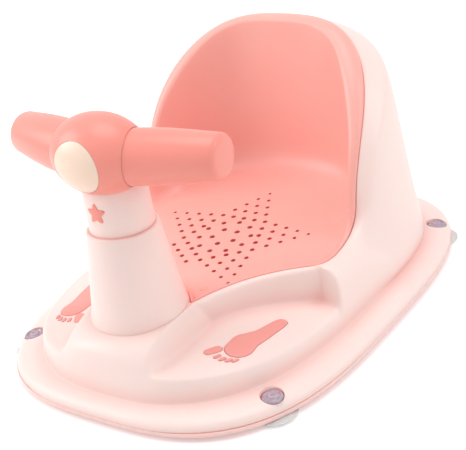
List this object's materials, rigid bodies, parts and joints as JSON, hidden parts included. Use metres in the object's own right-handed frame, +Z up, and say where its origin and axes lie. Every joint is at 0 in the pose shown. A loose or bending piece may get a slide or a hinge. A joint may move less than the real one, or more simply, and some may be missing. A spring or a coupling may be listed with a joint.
{
  "type": "baby bath seat",
  "caption": "Baby bath seat: a pale shell on suction cups with footwells, a coral bucket with a star of drain holes, and a post with a two-grip handle.",
  "frame": {"origin": "middle of the whole object, on the floor of the bath under the lips of the suction cups", "axes": "+Z up, +Y to the back of the seat so the handle stands at -Y, +X to the right as seen by someone who looks at the front"},
  "size_m": [0.305, 0.42, 0.2312],
  "materials": {
    "shell": "smooth pale pink moulded plastic",
    "liner": "smooth coral moulded plastic",
    "base_ring": "pale pink moulded plastic",
    "stem": "pale pink moulded plastic",
    "star_inlay": "coral plastic",
    "hub": "smooth coral plastic",
    "grips": "smooth coral plastic",
    "cap": "cream plastic",
    "foot_pads": "soft coral plastic",
    "cups": "clear greyish soft vinyl",
    "screws": "zinc-plated steel"
  },
  "bodies": {
    "root": {"seat_shell": "shell", "seat_liner": "liner", "base_ring": "base_ring", "handle_stem": "stem", "stem_star": "star_inlay", "handle_hub": "hub", "left_grip": "grips", "right_grip": "grips", "hub_cap": "cap", "left_foot_pad": "foot_pads", "right_foot_pad": "foot_pads", "suction_cup_front_left": "cups", "suction_cup_front_right": "cups", "suction_cup_rear_left": "cups", "suction_cup_rear_right": "cups", "hub_screw": "screws", "stem_screw": "screws", "liner_screws": "screws", "base_screws": "screws"}
  },
  "joints": []
}
